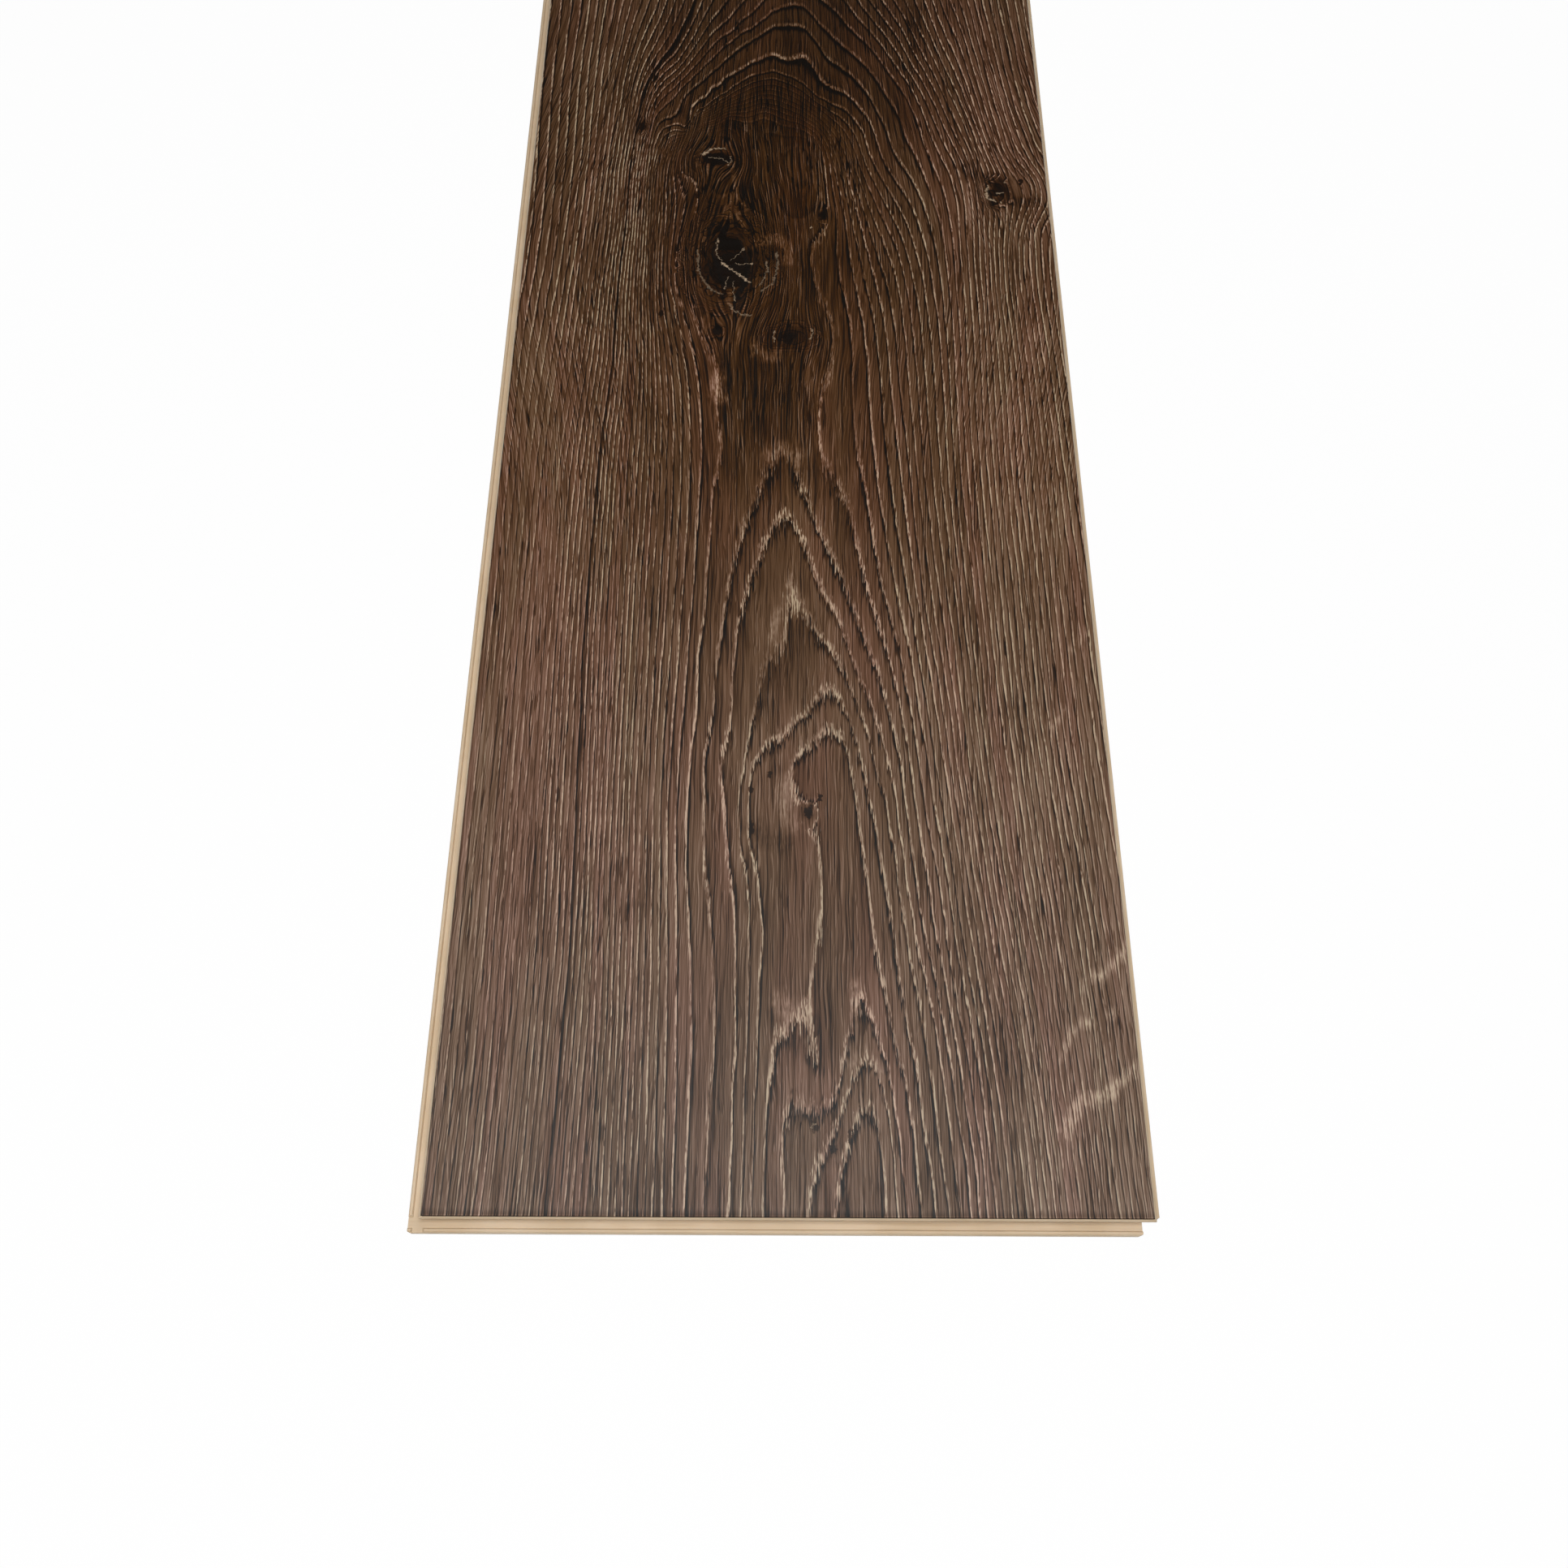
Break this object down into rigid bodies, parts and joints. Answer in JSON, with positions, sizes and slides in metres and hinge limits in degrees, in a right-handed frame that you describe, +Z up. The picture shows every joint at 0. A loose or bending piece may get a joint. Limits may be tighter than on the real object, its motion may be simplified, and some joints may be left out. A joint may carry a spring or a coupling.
{
  "type": "vinyl floor plank",
  "caption": "Wood-grain vinyl floor plank with a cream rigid core, bevelled printed face, and click-lock lips and tongues on its edges.",
  "frame": {"origin": "middle of the laid face, on the flat underside that rests on the subfloor", "axes": "+Y along the plank from the lip end to the tongue end, +X across from the lip side to the tongue side, +Z up to the printed face"},
  "size_m": [0.2338, 1.2244, 0.0065],
  "materials": {
    "core": "milled cream rigid vinyl core, matt",
    "decor": "printed dark brown oak grain under an embossed satin wear layer"
  },
  "bodies": {
    "root": {"core_board": "core", "decor_layer": "decor"}
  },
  "joints": []
}
